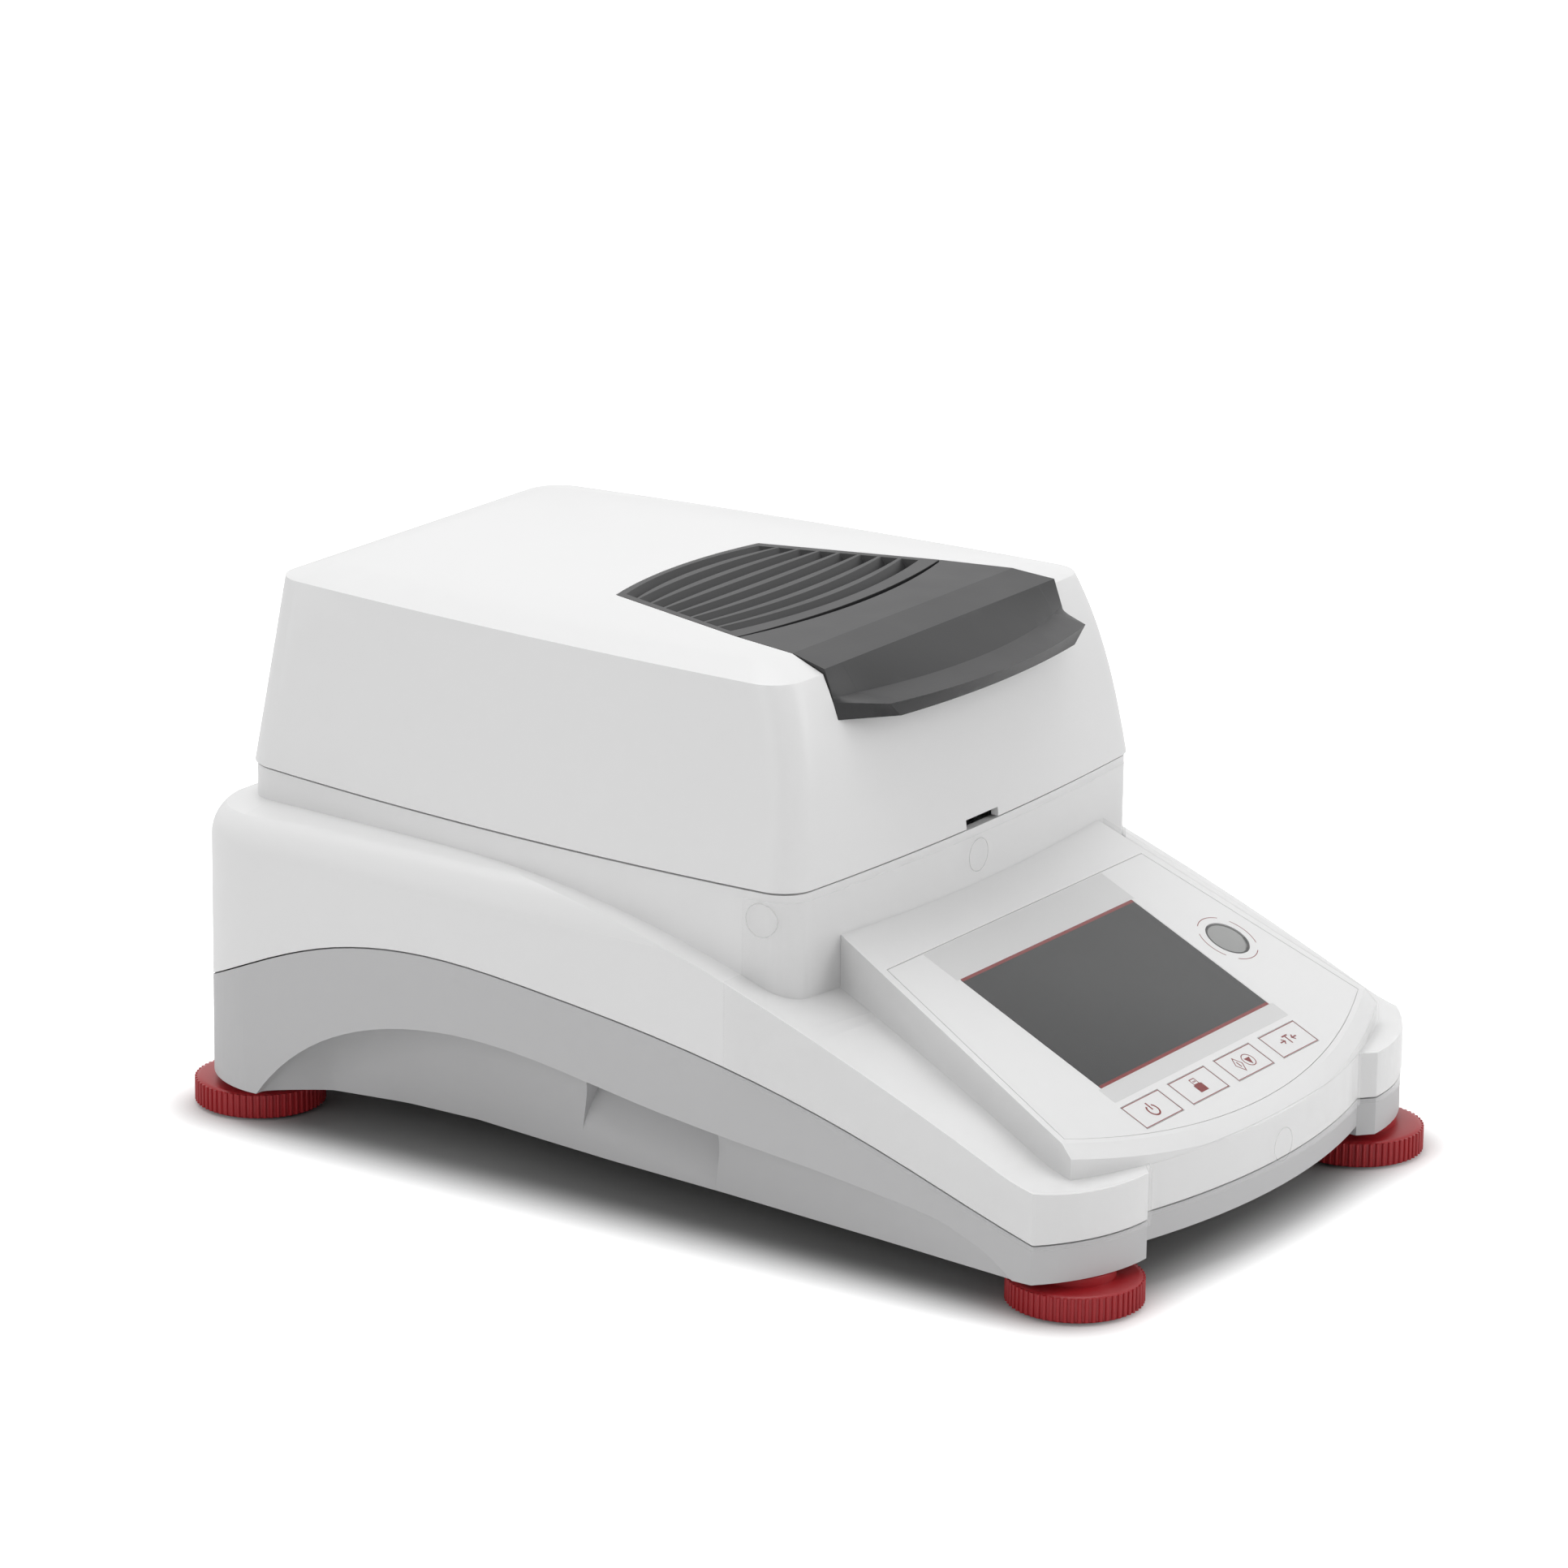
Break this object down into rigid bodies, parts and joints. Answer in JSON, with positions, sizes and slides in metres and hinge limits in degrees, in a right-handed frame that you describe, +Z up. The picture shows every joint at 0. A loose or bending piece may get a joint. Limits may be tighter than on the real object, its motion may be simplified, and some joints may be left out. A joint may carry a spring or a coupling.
{
  "type": "moisture analyzer",
  "caption": "Bench moisture analyzer with a hinged heater lid, louvred grille, sloping control panel under a clear cover, weighing pan and knurled levelling feet.",
  "frame": {"origin": "middle of the footprint on the bench", "axes": "+Z up; the front with the control panel faces -Y; +X is the right-hand side of a person who faces the panel and looks along +Y"},
  "size_m": [0.2122, 0.341, 0.171],
  "materials": {
    "white_plastic": "satin moulding",
    "grey_plastic": "fine matte moulding",
    "dark_plastic": "satin moulding",
    "clear_plastic": "clear vacuum-formed sheet",
    "overlay_film": "printed film",
    "screen": "smooth dark window",
    "key_film": "printed film",
    "circuit_board": "solder resist",
    "red_plastic": "satin moulding",
    "black_plastic": "matte moulding",
    "vial": "clear",
    "steel": "brushed",
    "aluminium_sheet": "satin",
    "brass_bush": "turned",
    "heater_pane": "clear",
    "lamp_tube": "frosted",
    "mirror_sheet": "polished",
    "rubber_pad": "matte"
  },
  "bodies": {
    "base": {"lower_housing": "grey_plastic", "upper_housing": "white_plastic", "in_use_cover": "clear_plastic", "panel_overlay": "overlay_film", "display_window": "screen", "display_module": "black_plastic", "key_board": "circuit_board", "level_cup": "black_plastic", "level_vial": "vial", "chamber_tray": "steel", "draft_shield": "aluminium_sheet", "load_cell": "aluminium_sheet", "cell_bracket": "aluminium_sheet", "main_board": "circuit_board", "power_board": "circuit_board", "fan_frame": "black_plastic", "mains_inlet": "black_plastic", "serial_socket": "steel", "usb_device_socket": "steel", "usb_host_socket": "steel", "housing_screws": "steel", "foot_bushes": "brass_bush", "hinge_brackets": "steel", "hinge_pins": "steel"},
    "lid": {"lid_shell": "white_plastic", "vent_grille": "dark_plastic", "handle_panel": "dark_plastic", "heat_shield": "steel", "glass_bezel": "steel", "heater_glass": "heater_pane", "halogen_lamp": "lamp_tube", "lamp_socket": "white_plastic", "reflector": "mirror_sheet", "temperature_sensor": "steel", "lid_screws": "steel", "lid_hinge_arms": "steel"},
    "key_power": {"key_power": "key_film"},
    "key_memory": {"key_memory": "key_film"},
    "key_start_stop": {"key_start_stop": "key_film"},
    "key_tare": {"key_tare": "key_film"},
    "pan_support": {"pan_support": "steel"},
    "sample_pan": {"sample_pan": "aluminium_sheet"},
    "pan_handler": {"pan_handler": "steel"},
    "fan_rotor": {"fan_rotor": "black_plastic"},
    "foot_pad_1": {"foot_pad_1": "rubber_pad"},
    "foot_wheel_1": {"foot_wheel_1": "red_plastic"},
    "foot_pad_2": {"foot_pad_2": "rubber_pad"},
    "foot_wheel_2": {"foot_wheel_2": "red_plastic"},
    "foot_pad_3": {"foot_pad_3": "rubber_pad"},
    "foot_wheel_3": {"foot_wheel_3": "red_plastic"},
    "foot_pad_4": {"foot_pad_4": "rubber_pad"},
    "foot_wheel_4": {"foot_wheel_4": "red_plastic"}
  },
  "joints": [
    {"name": "lid_hinge", "type": "hinge", "parent": "base", "child": "lid", "pos_m": [0, 0.163, 0.106], "axis": [-1, 0, 0], "range_deg": [0, 80]},
    {"name": "key_power_press", "type": "slide", "parent": "base", "child": "key_power", "axis": [0, 0.4321, -0.9018], "range_m": [0, 0.0004], "stiffness_N_per_m": 2000},
    {"name": "key_memory_press", "type": "slide", "parent": "base", "child": "key_memory", "axis": [0, 0.4321, -0.9018], "range_m": [0, 0.0004], "stiffness_N_per_m": 2000},
    {"name": "key_start_stop_press", "type": "slide", "parent": "base", "child": "key_start_stop", "axis": [0, 0.4321, -0.9018], "range_m": [0, 0.0004], "stiffness_N_per_m": 2000},
    {"name": "key_tare_press", "type": "slide", "parent": "base", "child": "key_tare", "axis": [0, 0.4321, -0.9018], "range_m": [0, 0.0004], "stiffness_N_per_m": 2000},
    {"name": "pan_handler_lift", "type": "slide", "parent": "base", "child": "pan_handler", "axis": [0, 0, 1], "range_m": [0, 0.008]},
    {"name": "pan_support_weigh", "type": "slide", "parent": "base", "child": "pan_support", "axis": [0, 0, -1], "range_m": [0, 0.0004], "stiffness_N_per_m": 5000},
    {"name": "sample_pan_lift", "type": "slide", "parent": "pan_support", "child": "sample_pan", "axis": [0, 0, 1], "range_m": [0, 0.008]},
    {"name": "fan_spin", "type": "hinge", "parent": "base", "child": "fan_rotor", "pos_m": [0.052, 0.158, 0.066], "axis": [0, 1, 0], "continuous": true},
    {"name": "foot_1_extend", "type": "slide", "parent": "base", "child": "foot_pad_1", "axis": [0, 0, -1], "range_m": [0, 0.006]},
    {"name": "foot_1_turn", "type": "hinge", "parent": "foot_pad_1", "child": "foot_wheel_1", "pos_m": [-0.0817, -0.15, 0.006], "axis": [0, 0, -1], "range_deg": [0, 1728.1]},
    {"name": "foot_2_extend", "type": "slide", "parent": "base", "child": "foot_pad_2", "axis": [0, 0, -1], "range_m": [0, 0.006]},
    {"name": "foot_2_turn", "type": "hinge", "parent": "foot_pad_2", "child": "foot_wheel_2", "pos_m": [0.0817, -0.15, 0.006], "axis": [0, 0, -1], "range_deg": [0, 1728.1]},
    {"name": "foot_3_extend", "type": "slide", "parent": "base", "child": "foot_pad_3", "axis": [0, 0, -1], "range_m": [0, 0.006]},
    {"name": "foot_3_turn", "type": "hinge", "parent": "foot_pad_3", "child": "foot_wheel_3", "pos_m": [-0.0817, 0.15, 0.006], "axis": [0, 0, -1], "range_deg": [0, 1728.1]},
    {"name": "foot_4_extend", "type": "slide", "parent": "base", "child": "foot_pad_4", "axis": [0, 0, -1], "range_m": [0, 0.006]},
    {"name": "foot_4_turn", "type": "hinge", "parent": "foot_pad_4", "child": "foot_wheel_4", "pos_m": [0.0817, 0.15, 0.006], "axis": [0, 0, -1], "range_deg": [0, 1728.1]}
  ],
  "couplings": [
    {"joint": "sample_pan_lift", "follows": "pan_handler_lift", "ratio": 1},
    {"joint": "foot_1_turn", "follows": "foot_1_extend", "rad_per_m": 5026.5},
    {"joint": "foot_2_turn", "follows": "foot_2_extend", "rad_per_m": 5026.5},
    {"joint": "foot_3_turn", "follows": "foot_3_extend", "rad_per_m": 5026.5},
    {"joint": "foot_4_turn", "follows": "foot_4_extend", "rad_per_m": 5026.5}
  ]
}
